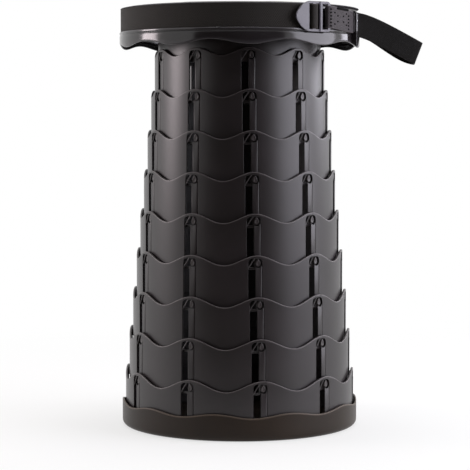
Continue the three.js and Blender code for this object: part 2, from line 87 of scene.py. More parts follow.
# %% Colour and node helpers
def linear(code):
    """sRGB hex to linear light: the low end is a straight line, the rest a power of 2.4."""
    values = np.array([int(code[i:i + 2], 16) for i in (1, 3, 5)]) / 255
    low, high = values / 12.92, ((values + 0.055) / 1.055) ** 2.4
    return (*np.where(values <= 0.04045, low, high).tolist(), 1.0)


def fill(node, inputs):
    """An input takes a value, a hex colour, an output, or a node's first output in use."""
    for key, value in dict(inputs).items():
        if isinstance(value, str):
            value = linear(value)
        if isinstance(value, bpy.types.Node):
            value = next(output for output in value.outputs if output.enabled)
        if isinstance(value, bpy.types.NodeSocket):
            node.id_data.links.new(value, node.inputs[key])
        else:
            node.inputs[key].default_value = value


def add(tree, kind, inputs=(), **settings):
    """Adds one shader node with its settings and its inputs."""
    made = tree.nodes.new("ShaderNode" + kind)
    for name, value in settings.items():
        setattr(made, name, value)
    fill(made, inputs)
    return made


def blank(name):
    """A new material, its node tree and its Principled shader."""
    made = bpy.data.materials.new(name)
    made.use_nodes = True
    return made, made.node_tree, made.node_tree.nodes["Principled BSDF"]


# %% [markdown]
# ## Moulded plastic
# Most of the stool is injection-moulded plastic. The mould's spark-eroded skin leaves a fine
# grain that breaks up reflections, and the melt leaves broad, faint flow clouds. A flat colour
# would miss both. So two near colours are mixed by a broad noise, and a fine noise makes the
# grain in relief and in gloss. An attribute worked out with each surface lightens the rims and
# some edges: a little wear from folding, and mostly a painted highlight where light catches them.

# %% Moulded plastic
FLOW_CLOUD = 45


def moulded(name, deep, pale, highlight_and_wear_colour, rough, grain, relief, speckle=0.12, specular=0.5):
    """grain and relief are the grain's size and depth in mm, speckle its share in the gloss."""
    made, tree, shader = blank(name)
    place = add(tree, "TexCoord").outputs["Object"]
    clouds = add(tree, "TexNoise", {"Vector": place, "Scale": 1 / (FLOW_CLOUD * MM), "Detail": 4})
    grains = add(tree, "TexNoise", {"Vector": place, "Scale": 1 / (grain * MM), "Detail": 2})
    share = add(tree, "MapRange", {"Value": clouds, "From Min": 0.3, "From Max": 0.7})
    skin = add(tree, "Mix", {0: share, 6: deep, 7: pale}, data_type="RGBA")
    # Painted highlight with some wear: this attribute mixes the paler colour into rims and edges.
    highlight_and_wear = add(tree, "Attribute", attribute_name="highlight_and_wear").outputs["Fac"]
    fill(shader, {
        "Base Color": add(tree, "Mix", {0: highlight_and_wear, 6: skin, 7: highlight_and_wear_colour}, data_type="RGBA"),
        "Roughness": add(tree, "MapRange", {
            "Value": grains, "From Min": 0.3, "From Max": 0.7,
            "To Min": rough * (1 - speckle), "To Max": rough * (1 + speckle),
        }),
        "Normal": add(tree, "Bump", {"Height": grains, "Distance": relief * MM, "Strength": 1}),
        "Specular IOR Level": specular,
    })
    return made


# The third colour of each is the paler one for painted edge highlights, with some wear.
# Glass-filled polypropylene: black-brown, satin, with a fine eroded grain.
ring_plastic = moulded("satin_polypropylene", "#242020", "#2b2627", "#857d7c", 0.36, 0.7, 0.02)
# The tray is the same plastic, warmer and darker in colour and with less shine.
tray_plastic = moulded("warm_polypropylene", "#1e150d", "#251a10", "#554a40", 0.42, 0.7, 0.02,
                       specular=0.25)
# The seat's top is matte, slightly violet.
disc_plastic = moulded("matte_polypropylene", "#2d2a2e", "#343136", "#4a474c", 0.55, 0.5, 0.03)
# The skirt is polished ABS: no grain worth seeing, only slight waves in the gloss.
skirt_plastic = moulded("polished_abs", "#272425", "#2d2a2b", "#5b585b", 0.15, 6, 0.012, speckle=0.2)
# The buckle is acetal, greyer and smooth.
buckle_plastic = moulded("smooth_acetal", "#45424a", "#4e4b54", "#8b8792", 0.25, 0.6, 0.008)

# %% [markdown]
# ## Pebbled grip, rubber and steel
# The grip plate has a coarse pebble grain, so that a hand does not slip: Voronoi cells of
# about 1.6 mm give its round bumps. The pads are dull rubber with a dusty bloom. The screws
# are zinc-plated steel, a metal, so their colour is that of their reflection.

# %% Pebbled grip, rubber and steel
PEBBLE, PEBBLE_DEPTH, CRYSTAL = 1.6, 0.25, 0.8

grip_plastic = moulded("pebbled_elastomer", "#272427", "#302d30", "#4b484b", 0.62, 0.5, 0.03)
tree = grip_plastic.node_tree
shader = tree.nodes["Principled BSDF"]
cells = add(tree, "TexVoronoi", {
    "Vector": add(tree, "TexCoord").outputs["Object"], "Scale": 1 / (PEBBLE * MM), "Smoothness": 0.4,
}, feature="SMOOTH_F1")
fill(shader, {"Normal": add(tree, "Bump", {
    "Height": cells, "Distance": PEBBLE_DEPTH * MM, "Strength": 0.8,
    "Normal": shader.inputs["Normal"].links[0].from_socket,
}, invert=True)})

pad_rubber = moulded("dull_rubber", "#191919", "#232323", "#3a3a3a", 0.85, 0.9, 0.05)

screw_steel, tree, shader = blank("zinc_plated_steel")
crystals = add(tree, "TexNoise", {
    "Vector": add(tree, "TexCoord").outputs["Object"], "Scale": 1 / (CRYSTAL * MM), "Detail": 3,
})
fill(shader, {
    "Metallic": 1, "Base Color": "#a6a6aa",
    "Roughness": add(tree, "MapRange", {"Value": crystals, "To Min": 0.22, "To Max": 0.45}),
})

# %% [markdown]
# ## Woven webbing
# The webbing is black-brown nylon, 25 mm wide. Its weft runs straight across and shows as
# ribs, its warp passes over and under them in columns that are half a rib out of step. The
# pattern follows the band and not space, so each band carries a UV map in metres: U runs
# along it, V across. The real yarn is about 0.9 mm wide, which is under a pixel of the
# photograph, so the ribs are drawn 1.9 mm apart.

# %% Woven webbing
RIB, WARP, FUZZ, RIB_DEPTH = 1.9, 1.55, 0.35, 0.22


def woven(name, deep, pale, edge, shine=0.3):
    """Ribs are a sine along the band, warp columns the size of a sine across it."""
    made, tree, shader = blank(name)
    uv = add(tree, "SeparateXYZ", {0: add(tree, "UVMap", uv_map="band")})
    along, across = uv.outputs[0], uv.outputs[1]
    column = add(tree, "Math", {0: across, 1: 1 / (WARP * MM)}, operation="MULTIPLY")
    number = add(tree, "Math", {0: column}, operation="FLOOR")
    step = add(tree, "Math", {0: number, 1: 0.5}, operation="MULTIPLY")
    rib = add(tree, "Math", {0: along, 1: 1 / (RIB * MM), 2: step}, operation="MULTIPLY_ADD")
    waves = []
    for phase, turn in ((rib, 2 * pi), (column, pi)):
        angle = add(tree, "Math", {0: phase, 1: turn}, operation="MULTIPLY")
        waves.append(add(tree, "Math", {0: angle}, operation="SINE"))
    ribs, ropes = waves
    ropes = add(tree, "Math", {0: ropes}, operation="ABSOLUTE")
    ropes = add(tree, "Math", {0: ropes, 1: 0.35}, operation="MULTIPLY")
    weave = add(tree, "Math", {0: ribs, 1: 0.5, 2: ropes}, operation="MULTIPLY_ADD")
    fuzz = add(tree, "TexNoise", {
        "Vector": add(tree, "TexCoord").outputs["Object"], "Scale": 1 / (FUZZ * MM), "Detail": 3,
    })
    height = add(tree, "Math", {0: fuzz, 1: 0.5, 2: weave}, operation="MULTIPLY_ADD")
    # The colour follows the weave's height: painted shade in the hollows and painted highlight on
    # the ribs' tops, mixed with the fuzz's random tone.
    light = add(tree, "MapRange", {"Value": height, "From Min": -0.4, "From Max": 1.2})
    yarn_and_painted_relief = add(tree, "Mix", {0: light, 6: deep, 7: pale}, data_type="RGBA")
    # The band is lighter along its two edges.
    side = add(tree, "Math", {0: across}, operation="ABSOLUTE")
    lighter_edge_share = add(tree, "MapRange", {"Value": side, "From Min": 11.4 * MM, "From Max": 12.4 * MM})
    fill(shader, {
        "Base Color": add(tree, "Mix", {0: lighter_edge_share, 6: yarn_and_painted_relief, 7: edge}, data_type="RGBA"),
        "Roughness": 0.78, "Specular IOR Level": shine, "Sheen Weight": 0.05, "Sheen Roughness": 0.4,
        "Normal": add(tree, "Bump", {"Height": height, "Distance": RIB_DEPTH * MM, "Strength": 0.9}),
    })
    return made


webbing = woven("woven_nylon_webbing", "#171411", "#2a2622", "#38332e")
# A darker, less shiny copy of the webbing for the carry loop: painted shade.
painted_shade_webbing = woven("painted_shade_nylon_webbing", "#080706", "#100e0c", "#191614", 0.08)
# The sewn end gets a paler copy of the webbing.
sewn_webbing = woven("sewn_nylon_webbing", "#2c2829", "#4b4648", "#5b5557")

# Bonded polyester thread: dull, with a twist of half a millimetre that is too fine to show.
thread, tree, shader = blank("bonded_polyester_thread")
twist = add(tree, "TexNoise", {
    "Vector": add(tree, "TexCoord").outputs["Object"], "Scale": 1 / (0.5 * MM), "Detail": 2,
})
dark = add(tree, "Mix", {0: twist, 6: "#040404", 7: "#0c0b0b"}, data_type="RGBA")
fill(shader, {"Base Color": dark, "Roughness": 0.9, "Specular IOR Level": 0.08})

# %% [markdown]
# ## From arrays to a piece
# Every surface below is a grid: a function of two parameters, worked out for the whole grid
# at once. The helpers turn a grid into faces and a list of grids into one piece that rides on
# a body of the frame and stands for its CAD node. Seams are welded and the faces are then
# turned outwards, which is safe because every shell is closed.

# %% Grid and piece helpers
def quads(rows, columns, close_rows=False, close_columns=False, keep=None):
    """Four corner numbers for each cell of a rows x columns grid; keep drops cells."""
    i, j = np.meshgrid(
        np.arange(rows if close_rows else rows - 1),
        np.arange(columns if close_columns else columns - 1), indexing="ij",
    )
    if keep is not None:
        i, j = i[keep], j[keep]
    low, high = i % rows * columns, (i + 1) % rows * columns
    left, right = j % columns, (j + 1) % columns
    corners = [low + left, low + right, high + right, high + left]
    return np.stack([c.ravel() for c in corners], axis=1)


def join(*shells):
    """Shells are (points, faces, painted highlight and wear); the face numbers are moved up past the
    points before.
    """
    points, faces, highlights_and_wear, start = [], [], [], 0
    for shell in shells:
        where, corners, highlight_and_wear = (*shell, 0.0)[:3]
        where = where.reshape(-1, 3)
        points.append(where)
        faces.append(corners + start)
        highlights_and_wear.append(np.broadcast_to(highlight_and_wear, len(where)))
        start += len(where)
    return np.concatenate(points), np.concatenate(faces), np.concatenate(highlights_and_wear)


def piece(name, shell, body, nodes, finish, uv=None, bevel=0.0, sharp=None):
    """Welds the shell, turns its faces outwards and hangs it on its body."""
    points, faces, highlight_and_wear = (*shell, None)[:3]
    if not isinstance(faces, list):
        faces = faces.tolist()
    mesh = bpy.data.meshes.new(name)
    mesh.from_pydata((points.reshape(-1, 3) * MM).tolist(), [], faces)
    # Each point's share of the paler colour: painted highlight on edges, with some wear.
    if highlight_and_wear is not None:
        layer = mesh.attributes.new("highlight_and_wear", "FLOAT", "POINT")
        layer.data.foreach_set("value", highlight_and_wear.astype(np.float32))
    if uv is not None:
        corners = np.zeros(len(mesh.loops), np.int32)
        mesh.loops.foreach_get("vertex_index", corners)
        layer = mesh.uv_layers.new(name="band")
        layer.data.foreach_set("uv", (uv.reshape(-1, 2)[corners] * MM).astype(np.float32).ravel())
    work = bmesh.new()
    work.from_mesh(mesh)
    bmesh.ops.remove_doubles(work, verts=work.verts, dist=0.002 * MM)
    bmesh.ops.recalc_face_normals(work, faces=work.faces)
    open_edges = sum(len(edge.link_faces) != 2 for edge in work.edges)
    work.to_mesh(mesh)
    work.free()
    mesh.shade_smooth()
    if sharp:
        mesh.set_sharp_from_angle(angle=radians(sharp))
    mesh.materials.append(finish)
    made = new_object(name, mesh)
    if bevel:
        edge = made.modifiers.new("edge_rounding", "BEVEL")
        edge.width, edge.segments, edge.limit_method = bevel * MM, 2, "ANGLE"
        edge.angle_limit = radians(50)
        edge.harden_normals, edge.use_clamp_overlap = True, False
    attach(made, body)
    if nodes:
        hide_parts(*nodes)
    print(name, len(mesh.vertices), "points,", len(mesh.polygons), "faces, open edges:", open_edges)


def around(radius, azimuth, height):
    """A place from its distance to the axis, its turn from the front and its height."""
    radius, azimuth, height = np.broadcast_arrays(radius, azimuth, height)
    return np.stack([radius * np.sin(azimuth), -radius * np.cos(azimuth), height], axis=-1)


def rounding(radius, start, end, steps=4):
    """Cosines and sines of an arc, in steps, to round a profile's corner."""
    angle = np.radians(np.linspace(start, end, steps + 1))
    return radius * np.cos(angle), radius * np.sin(angle)


# %% [markdown]
# ## Sizes that the rings share
# Each ring is 4.03 mm smaller on the radius than the one below and stands 42.8 mm higher. Its
# upper edge has ten waves, and under each crest is a channel that opens to the right into a
# pocket. A lug of the next smaller ring stands in that pocket.

# %% Ring sizes
WAVES = 10
PITCH = 2 * pi / WAVES
WALL = 2.3
HEIGHT = 57.6
OPENING_FOOT, OPENING_TOP = 2.6, 54.6
LEFT, RIGHT = -3.4, 11.4
LEFT_CORNER, RIGHT_CORNER = 4.2, 4.0
POCKET_MIDDLE = 7.1
FIRST_RADIUS, RADIUS_STEP = 123.7, 4.03
FIRST_FOOT, TRAVEL = 4.2, 42.8
FIRST_TURN, TURN_STEP = 8.2, 0.62
CREST_TURN = radians(3.2)


def ring_radius(level):
    return FIRST_RADIUS - RADIUS_STEP * level


def ring_foot(level):
    return FIRST_FOOT + TRAVEL * level


def slot_turn(level):
    return radians(FIRST_TURN - TURN_STEP * level)


def pocket_turn(level):
    return slot_turn(level) + atan(POCKET_MIDDLE / ring_radius(level))


def wave(azimuth, height, crest):
    """How far a wavy edge has fallen below its crests: half a cosine's swing, ten times round."""
    return height * (1 - np.cos(WAVES * (azimuth - crest))) / 2


# %% [markdown]
# ## The wall of a ring
# A wall with ten arched openings could be cut with booleans, which leaves long, thin faces.
# Here it is one closed grid: columns run round the ring, rows go up the outside, over the
# rounded edge and down the inside. The rows bend so that one of them follows the arch of the
# openings, and the cells inside an opening are simply left out.

# %% Ring wall
TOP_ROUND, FOOT_ROUND = 0.55, 0.5
PANEL_DROP = 3.2  # below the edge, the rows of a panel stay under the waves' troughs
WAVE_SHARE = 0.091  # height of the waves in the ring's radius
FOOT_ROW = 1.3
SLOT_ROWS, EDGE_ROWS = 5, 3


def arch(u):
    """Height of the row that follows the openings: a quarter circle at each upper corner, flat
    between them, and a straight line across the panel to the next opening."""
    height = np.full_like(u, OPENING_TOP)
    left, right = LEFT + LEFT_CORNER, RIGHT - RIGHT_CORNER
    panel = u > RIGHT
    near, far = u < left, (u > right) & ~panel
    for part, off, radius in ((near, left - u, LEFT_CORNER), (far, u - right, RIGHT_CORNER)):
        height[part] += np.sqrt(np.maximum(radius**2 - off[part] ** 2, 0)) - radius
    share = (u[panel] - RIGHT) / (u.max() - RIGHT + 1e-9)
    height[panel] += -RIGHT_CORNER + share * (RIGHT_CORNER - LEFT_CORNER)
    return height


def ring_wall(level):
    """Columns are distances u along the wall from a channel's middle, rows a closed profile."""
    radius = ring_radius(level)
    quarter = lambda steps: 1 - np.cos(np.linspace(0, pi / 2, steps + 1))
    left = LEFT + LEFT_CORNER * quarter(6)
    right = (RIGHT - RIGHT_CORNER * quarter(5))[::-1]
    middle = np.linspace(left[-1], right[0], 5)[1:-1]
    panel = np.linspace(RIGHT, PITCH * radius + LEFT, 25)[1:]
    u = np.concatenate([left, middle, right, panel])
    row = np.tile(arch(u)[:-1], WAVES)
    u = u[:-1]
    opening = np.tile(u < RIGHT - 1e-6, WAVES)
    azimuth = ((u / radius + slot_turn(level))[None] + (np.arange(WAVES) * PITCH)[:, None]).ravel()
    crest = HEIGHT - wave(azimuth, WAVE_SHARE * radius, slot_turn(level) + CREST_TURN)
    row = np.where(opening, row, np.minimum(row, crest - PANEL_DROP))
    over, up = rounding(TOP_ROUND, 180, 90)
    under, down = rounding(FOOT_ROUND, 270, 180, 2)
    flat = np.ones_like(azimuth)
    straight = np.zeros(1 + SLOT_ROWS + EDGE_ROWS)
    depth = np.concatenate([FOOT_ROUND + under, straight, TOP_ROUND + over])
    heights = np.array([
        *[FOOT_ROUND + d * flat for d in down], FOOT_ROW * flat, OPENING_FOOT * flat,
        *[OPENING_FOOT + (row - OPENING_FOOT) * k / SLOT_ROWS for k in range(1, SLOT_ROWS + 1)],
        *[row + (crest - TOP_ROUND - row) * k / EDGE_ROWS for k in range(1, EDGE_ROWS)],
        *[crest - TOP_ROUND + d for d in up],
    ])
    rows, columns = 2 * len(depth), len(azimuth)
    depth = np.concatenate([depth, WALL - depth[::-1]])[:, None]
    heights = np.concatenate([heights, heights[::-1]])
    points = around(radius - depth, azimuth[None], ring_foot(level) + heights)
    # The openings: their cells go, and quads join the outside to the inside round each.
    first = len(under) + 1
    last = first + SLOT_ROWS
    keep = np.ones((rows, columns), bool)
    keep[first:last, opening] = False
    keep[rows - 1 - last:rows - 1 - first, opening] = False
    faces = [quads(rows, columns, True, True, keep)]
    outside = np.arange(rows * columns).reshape(rows, columns)
    inside = outside[::-1]
    here = np.flatnonzero(opening)
    after = (here + 1) % columns
    for at in (first, last):
        rim = [outside[at, here], outside[at, after], inside[at, after], inside[at, here]]
        faces.append(np.stack(rim, -1))
    low, high = slice(first, last), slice(first + 1, last + 1)
    for at in (here[~opening[here - 1]], after[~opening[after]]):
        rim = [outside[low, at], outside[high, at], inside[high, at], inside[low, at]]
        faces.append(np.stack(rim, -1).reshape(-1, 4))
    # Painted highlight with some wear: the top edge's rounding takes up to half the paler colour,
    # most on its outer side.
    near_edge = np.clip((heights - (crest - 0.8)) / 0.5, 0, 1)
    highlight_and_wear = 0.5 * near_edge * np.clip(1 - np.abs(depth - 0.3) / 1.2, 0, 1)
    return points, np.concatenate(faces), highlight_and_wear.ravel()


# %% [markdown]
# ## Tongues, ribs and lugs
# Under each pocket a springy tongue stands a little proud of the wall, with a U-shaped top in
# which the lug of the next ring rests. A slanted rib keeps the lug from turning back into the
# channel. The lugs are teardrops with a domed face. All are short sleeves: an outline carried
# along a few rows, with its end rows drawn in to a line or a point, so that they are closed.

# %% Tongues and ribs
TONGUE_FOOT, TONGUE_TOP = 0.6, 44.9
TONGUE_LEFT, TONGUE_RIGHT = 4.1, 11.2
TONGUE_PROUD, TONGUE_THICK, TONGUE_DROP = 0.3, 0.85, 0.35
CUP_HALF, CUP_RISE, CUP_POWER = 3.4, 2.6, 2.6
RIB_RADIUS, RIB_PROUD, RIB_DEEP = 0.62, 0.75, 1.2


def on_wall(level, azimuth, across, out, height, highlight_and_wear=0.0):
    """Sleeves on a ring's wall, ten times round, from places across it, out of it and up it."""
    radius = ring_radius(level)
    turns = (azimuth + np.arange(WAVES) * PITCH)[:, None, None]
    faces = quads(*across.shape, False, True)
    return [(places, faces, highlight_and_wear)
            for places in around(radius + out, across / radius + turns, ring_foot(level) + height)]


def tongues(level):
    """A bar's section carried up the wall; its top is a cup, a power curve of the side."""
    fine = np.linspace(TONGUE_LEFT, TONGUE_RIGHT, 13)
    across = np.concatenate([fine, fine[::-1]])[None]
    side = np.repeat([TONGUE_THICK / 2, -TONGUE_THICK / 2], 13)[None]
    side = side * np.where((across == TONGUE_LEFT) | (across == TONGUE_RIGHT), 0.45, 1.0)
    inset = np.array([1, 0.4, 0, 0, 0, 0.4, 1])[:, None]
    rise = np.array([0, 0.1, 0.5, 0, -0.5, -0.1, 0])[:, None]
    away = np.abs(across - POCKET_MIDDLE) / CUP_HALF
    top = TONGUE_TOP + np.minimum(CUP_RISE * away**CUP_POWER, CUP_RISE)
    height = np.concatenate([*[TONGUE_FOOT + 0 * top] * 3, (TONGUE_FOOT + top) / 2, *[top] * 3])
    middle = (TONGUE_LEFT + TONGUE_RIGHT) / 2
    slope = np.clip((across - middle) / (TONGUE_RIGHT - middle), 0, 1) ** 2
    slope = slope * TONGUE_DROP * (side > 0) * (1 - inset)
    return on_wall(level, slot_turn(level), middle + (across - middle) * (1 - 0.06 * inset),
                   TONGUE_PROUD - slope - TONGUE_THICK / 2 + side * (1 - inset), height + rise)


def ribs(level):
    """The slanted rib between channel and pocket: a rounded section along a straight line."""
    start, end = np.array([LEFT - 0.3, 44.2]), np.array([3.4, OPENING_TOP + 0.3])
    way = (end - start) / np.linalg.norm(end - start)
    share = np.array([0, 0, 0.33, 0.67, 1, 1])[:, None]
    girth = np.array([0, 1, 1, 1, 1, 0])[:, None]
    turn = np.linspace(0, 2 * pi, 10, endpoint=False)[None]
    off = RIB_RADIUS * np.cos(turn) * girth
    across = start[0] + (end[0] - start[0]) * share - way[1] * off
    height = start[1] + (end[1] - start[1]) * share + way[0] * off
    out = -RIB_DEEP + RIB_PROUD * np.sin(turn) * girth
    # The rib takes a tenth of the paler colour: a painted highlight on its top.
    return on_wall(level, slot_turn(level), across, out, height, 0.1)


# %% Lugs
LUG_FOOT, LUG_SHOULDER, LUG_TOP, LUG_HALF = 3.3, 6.53, 11.4, 2.5
LUG_REACH, BASE_LUG_REACH = 3.13, 1.25


def lugs(level, reach=LUG_REACH):
    """The outline is half an ellipse below the shoulder and two convex flanks above it."""
    lower = np.linspace(pi, 2 * pi, 13)
    share = np.linspace(0, 1, 8)[1:]
    flank = LUG_HALF * (1 - share**1.5) ** 0.9
    rise = LUG_SHOULDER + (LUG_TOP - LUG_SHOULDER) * share
    bowl = LUG_SHOULDER + (LUG_SHOULDER - LUG_FOOT) * np.sin(lower)
    x = np.concatenate([LUG_HALF * np.cos(lower), flank, -flank[-2::-1]])
    z = np.concatenate([bowl, rise, rise[-2::-1]])
    scale = np.array([0, 1, 1, 0.94, 0.8, 0.4, 0])[:, None]
    out = [-0.35, -0.35, reach - 0.5, reach - 0.12, reach, reach - 0.3, reach - 0.45]
    height = LUG_SHOULDER + (z - LUG_SHOULDER) * scale
    # The lugs take a little of the paler colour: a painted highlight on their rim, with some wear.
    return on_wall(level, pocket_turn(level - 1), x * scale, np.array(out)[:, None], height, 0.12)


# %% Rings as pieces
for level in range(9):
    node, body = (f"ring_{level}", f"stage_{level}") if level else ("base_ring", "base")
    reach = LUG_REACH if level else BASE_LUG_REACH
    shell = join(ring_wall(level), *tongues(level), *ribs(level), *lugs(level, reach))
    piece(f"{node}_moulding", shell, body, [node], ring_plastic, bevel=0.32)

# %% [markdown]
# ## Turned shapes
# The tray, the skirt, the seat disc and the neck ring are a profile turned about the axis. A
# third number in the profile says how much of the edge's wave a point follows, so the wave
# fades out over the rows below it and the grid stays even. A fourth says how much of the paler
# colour it takes: a painted highlight on rounded edges, with some wear.

# %% Lathe
def split(profile):
    """Radius, height, share of the wave and share of painted highlight and wear of a profile's
    points, as columns.
    """
    return [np.array(v, float)[:, None] for v in zip(*[(*p, 0, 0)[:4] for p in profile])]


def lathe(profile, columns, wave_height=0.0, crest=0.0, closed=True, centre=(0, 0)):
    """Rows are the profile's points, columns azimuths."""
    radius, height, share, highlight_and_wear = split(profile)
    azimuth = np.linspace(0, 2 * pi, columns, endpoint=False)[None]
    height = height - share * wave(azimuth, wave_height, crest)
    points = around(radius, azimuth, height) + np.array([*centre, 0.0])
    return points, quads(len(profile), columns, closed, True), (highlight_and_wear + np.zeros_like(azimuth)).ravel()


def corner(middle, height, radius, start, end, share=0.0, highlight_and_wear=0.0, steps=4):
    """A rounded corner of a profile about a middle point."""
    x, y = rounding(radius, start, end, steps)
    return [(middle + a, height + b, share, highlight_and_wear) for a, b in zip(x, y)]


# %% Base tray
TRAY_CREST, TRAY_WAVE = 28.5, 4.2
OUTSIDE, INSIDE, FLOOR, SOLE = 127.4, 125.4, 3.9, 0.25
tray_profile = [
    *[(radius, SOLE) for radius in (0, 60, 112, 116)], (117, 0), (119.5, 0),
    *corner(OUTSIDE - 5.5, 5.5, 5.5, -90, 0, steps=7),
    *[(OUTSIDE, z, share) for z, share in ((10, 0.1), (15, 0.3), (20, 0.6), (24, 0.85), (26.6, 1))],
    # The crest's rounding takes most of the paler colour: painted highlight, with some wear.
    *corner(OUTSIDE - 1, TRAY_CREST - 1, 1, 0, 180, share=1, highlight_and_wear=0.8, steps=8),
    (INSIDE, 24, 0.85), (INSIDE, 19.5, 0.35), (INSIDE, 17.4), (INSIDE - 0.9, 16.7), (INSIDE, 16),
    (INSIDE, 5), (124.3, FLOOR), (60, FLOOR), (0, FLOOR),
]
tray = lathe(tray_profile, 360, TRAY_WAVE, radians(6.6) + PITCH / 2, closed=False)
piece("base_tray_moulding", tray, "base", ["base_tray"], tray_plastic)

# %% [markdown]
# ## Foot pads
# Five rubber pads are let into the sole and stand a quarter of a millimetre proud of it, flush
# with the foot ring round its edge. Rings of fine grooves keep them from sliding.

# %% Foot pads
PADS, PAD_PLACE = 5, 100.0
GROOVE = ((0.7, 0), (0.45, 0.35), (0.15, 0.35), (-0.1, 0))
pad_rows = [
    (0, 0.9), (10.4, 0.9), (10.7, 0.6), (10.7, 0.25), (10.5, 0.05), (10.2, 0),
    *[(radius + off, deep) for radius in (8.2, 6.2, 4.2, 2.2) for off, deep in GROOVE], (0, 0),
]
for k in range(PADS):
    at = around(PAD_PLACE, 2 * pi * k / PADS, 0.0)
    pad, node = lathe(pad_rows, 48, closed=False, centre=at[:2]), f"foot_pad_{k + 1}"
    piece(f"{node}_rubber", pad, "base", [node], pad_rubber, sharp=35)

# %% [markdown]
# ## The neck ring
# The smallest ring is plain. It hangs from the seat by a flange, screwed to bosses under the
# disc, and its lugs stand in the pockets of the eighth ring.

# %% Neck ring
NECK, NECK_INSIDE, FLANGE_INSIDE = 87.43, 85.13, 75.13
neck_profile = [
    (85.43, 389.4), *corner(NECK - 0.5, 389.9, 0.5, -90, 0, steps=2), (NECK, 400), (NECK, 425),
    *corner(NECK - 0.5, 446.5, 0.5, 0, 90, steps=2), (85.6, 447), (NECK_INSIDE, 446.5),
    (NECK_INSIDE, 438.9), (84.8, 438.6), *corner(FLANGE_INSIDE + 0.5, 438.1, 0.5, 90, 180, steps=2),
    *corner(FLANGE_INSIDE + 0.5, 436.7, 0.5, 180, 270, steps=2),
    *[(NECK_INSIDE, z) for z in (436.2, 400, 389.7)],
]
neck = join(lathe(neck_profile, 240), *lugs(9))
piece("neck_ring_moulding", neck, "seat", ["neck_ring"], ring_plastic, sharp=40)

# %% [markdown]
# ## The seat disc
# The matte top carries a faint relief like the blades of an iris: from a circle round the grip
# plate eight arcs run out to the rim, each a step of a few tenths of a millimetre. The grid's
# columns are twisted along those arcs, so that each step lies exactly between two of them and
# stays crisp without a dense mesh. The rim is domed down a little.

# %% Seat disc
BLADES = 8
IRIS = 86.0
STEP_DEPTH = 0.28
STEP_SHARE = 0.3 / 38  # the step's width in a blade's
DISC_TOP, DISC_EDGE, RECESS = 450.0, 128.2, 64.0
DOME = ((126, 1.65, 0), (123.4, 1.15, 0.6), (121, 0.8, 1), (118, 0.45, 1), (113, 0.1, 1))


def iris_twist(radius):
    """The arc's turn: one and a half times that of a straight line that touches the circle."""
    return 1.5 * np.arccos(np.clip(IRIS / np.maximum(radius, IRIS), -1, 1))


def seat_disc():
    """Top rows follow the iris relief: a saw tooth along the azimuth, faded at both ends."""
    phase = np.linspace(0, 1, 27)
    columns = (np.arange(BLADES)[:, None] + np.clip(phase, 0, 1 - STEP_SHARE)[None]).ravel()
    columns = columns * 2 * pi / BLADES
    tooth = np.tile(phase, BLADES)[None]
    rows = [
        (66.4, 447.4), (90, 447.4), (120, 447.4), (127.4, 447.2), (128, 447.2),
        *corner(DISC_EDGE - 0.6, DISC_TOP - 2.6, 0.6, 0, 90, steps=5),
        *[(radius, DISC_TOP - fall, share) for radius, fall, share in DOME],
        *[(radius, DISC_TOP, 1) for radius in np.linspace(108, 87.2, 13)],
        (IRIS + 0.5, DISC_TOP, 0.9),
        *[(radius, DISC_TOP) for radius in (IRIS, 80, 72, 66)],
        *corner(RECESS + 0.5, DISC_TOP - 0.5, 0.5, 90, 180, steps=3), (RECESS, 447.5),
        (RECESS, 446.4), (60, 446.4), (56.3, 446.4), (56, 446.1), (56, 444.3), (56.3, 444),
        (66.1, 444), (66.4, 444.3),
    ]
    radius, height, share = split(rows)[:3]
    azimuth = columns[None] + iris_twist(radius)
    height = height - STEP_DEPTH * share * tooth
    # The top's rim and the edges of the iris steps take half the paler colour: painted highlight,
    # with some wear.
    edge = np.exp(-((radius - 127.4) / 0.9) ** 2) * 0.5 * (height > 448)
    jump = np.where((tooth < 0.03) & (share > 0), 0.5, 0)
    faces = quads(len(rows), len(columns), True, True)
    return around(radius, azimuth, height), faces, (edge + jump).ravel()


SCREWS, SCREW_PLACE = 5, 80.13
boss = [(3.6, 438.9), (3.6, 447.6), (1.9, 447.6), (1.9, 438.9)]
bosses = []
for k in range(SCREWS):
    turn = slot_turn(9) + CREST_TURN + pi / SCREWS + 2 * pi * k / SCREWS
    bosses.append(lathe(boss, 24, centre=around(SCREW_PLACE, turn, 0.0)[:2]))
disc = join(seat_disc(), *bosses)
piece("seat_disc_moulding", disc, "seat", ["seat_disc"], disc_plastic, sharp=38)

# %% [markdown]
# ## The grip plate
# The plate in the middle has two finger holes. A disc with two holes is no simple grid, so it
# is split along the line between them: each half is a sheet that runs from its hole's edge to
# the plate's edge or to that line, and the second half is the first one turned by half a turn.

# %% Grip plate
PLATE, PLATE_TOP, PLATE_UNDER = 63.7, 449.7, 446.7
HOLE_PLACE, HOLES_TURN = 29.5, 7
COLLAR = (
    (15.5, PLATE_UNDER), (15.5, 442), (15.5, 439.1), (15.2, 438.7), (13.8, 438.7), (13.5, 439),
    (13.5, 444), (13.5, 448.3), (13.62, 448.9), (13.95, 449.4), (14.5, 449.65), (15.2, PLATE_TOP),
)
PLATE_EDGE = ((0.25, 449.6), (0.03, 449.3), (0, 448.8), (0, 447), (0.3, PLATE_UNDER))


